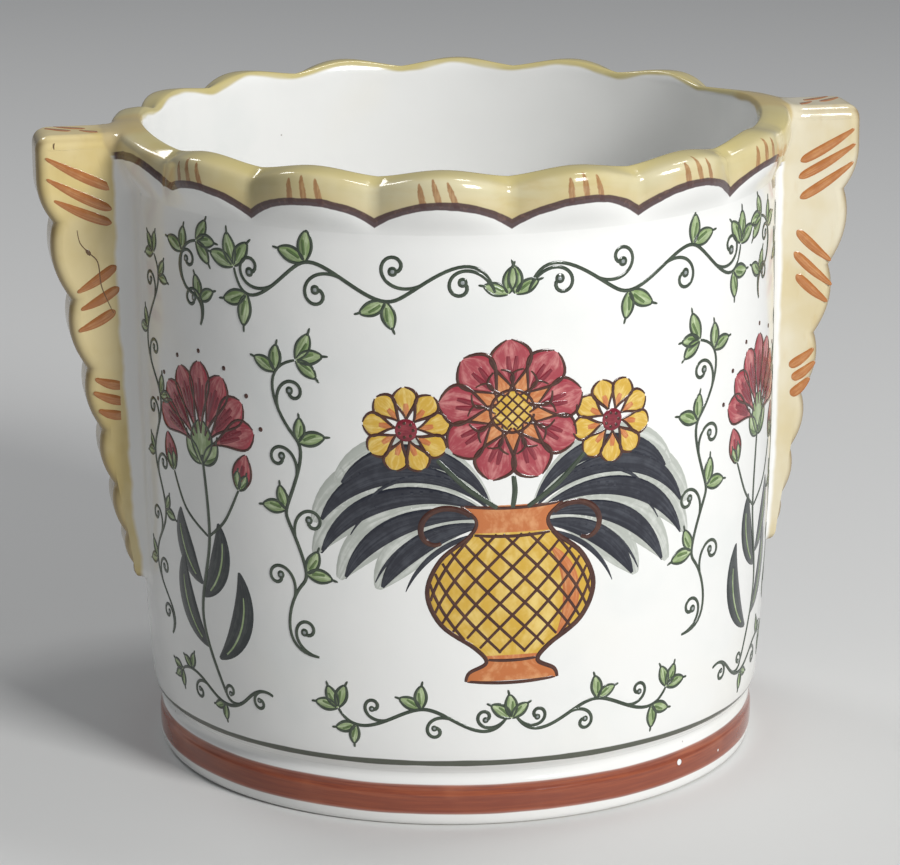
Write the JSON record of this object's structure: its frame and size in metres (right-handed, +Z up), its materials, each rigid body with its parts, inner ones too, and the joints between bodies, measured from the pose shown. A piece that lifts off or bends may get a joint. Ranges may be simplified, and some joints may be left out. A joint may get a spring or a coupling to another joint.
{
  "type": "flower pot",
  "caption": "Round glazed earthenware flower pot on a foot ring, with a scalloped rim and flat wing handles with scalloped edges; holds a nursery pot or a plant.",
  "frame": {"origin": "centre of the foot, on the surface that the pot stands on", "axes": "+X towards one wing handle, +Y towards the back of the pot, +Z up; the front faces -Y"},
  "size_m": [0.193, 0.1548, 0.15],
  "materials": {
    "white_glaze": "glossy tin-white glaze with painted decoration",
    "yellow_glaze": "glossy pale yellow glaze with ochre brush strokes",
    "banded_glaze": "glossy white glaze with a painted red-brown band"
  },
  "bodies": {
    "root": {"foot_ring": "banded_glaze", "pot_body": "white_glaze", "rim_collar": "yellow_glaze", "right_wing_handle": "yellow_glaze", "left_wing_handle": "yellow_glaze"}
  },
  "joints": []
}
